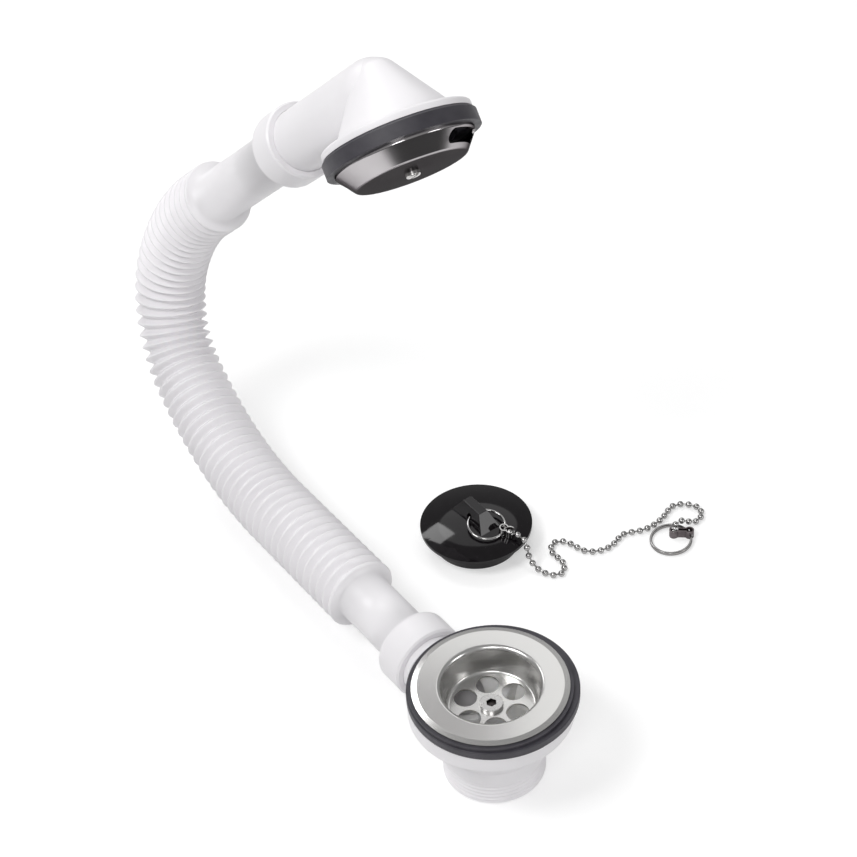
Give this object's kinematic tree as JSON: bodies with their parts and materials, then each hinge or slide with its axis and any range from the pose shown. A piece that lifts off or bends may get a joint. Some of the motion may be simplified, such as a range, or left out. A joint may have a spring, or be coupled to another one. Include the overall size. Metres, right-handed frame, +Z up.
{
  "type": "bath waste and overflow",
  "caption": "Bath waste with a strainer and threaded tail, a corrugated overflow hose up to a round overflow head, and a plug on a bead chain lying beside it.",
  "frame": {"origin": "on the waste's axis, in the plane of the bath's floor between the upper and lower seals", "axes": "+Z up the waste, +Y out along the side branch to the overflow hose, +X to the side where the plug lies"},
  "size_m": [0.2244, 0.3588, 0.2846],
  "materials": {
    "stainless": "brushed",
    "screw_steel": "satin",
    "insert_brass": "satin",
    "seal_rubber": "matte",
    "white_plastic": "satin",
    "polished_steel": "polished",
    "plug_black": "gloss",
    "bead_nickel": "polished",
    "dark_steel": "dull"
  },
  "bodies": {
    "root": {"strainer": "stainless", "strainer_screw": "screw_steel", "overflow_screw": "screw_steel", "waste_insert": "insert_brass", "overflow_insert": "insert_brass", "upper_seal": "seal_rubber", "lower_seal": "seal_rubber", "overflow_gasket": "seal_rubber", "lower_union_seal": "seal_rubber", "upper_union_seal": "seal_rubber", "waste_body": "white_plastic", "lower_union_nut": "white_plastic", "overflow_hose": "white_plastic", "upper_union_nut": "white_plastic", "overflow_elbow": "white_plastic", "overflow_faceplate": "polished_steel", "plug": "plug_black", "bead_chain": "bead_nickel", "plug_ring": "bead_nickel", "plug_clasp": "bead_nickel", "end_ring": "bead_nickel", "end_clasp": "dark_steel"}
  },
  "joints": []
}
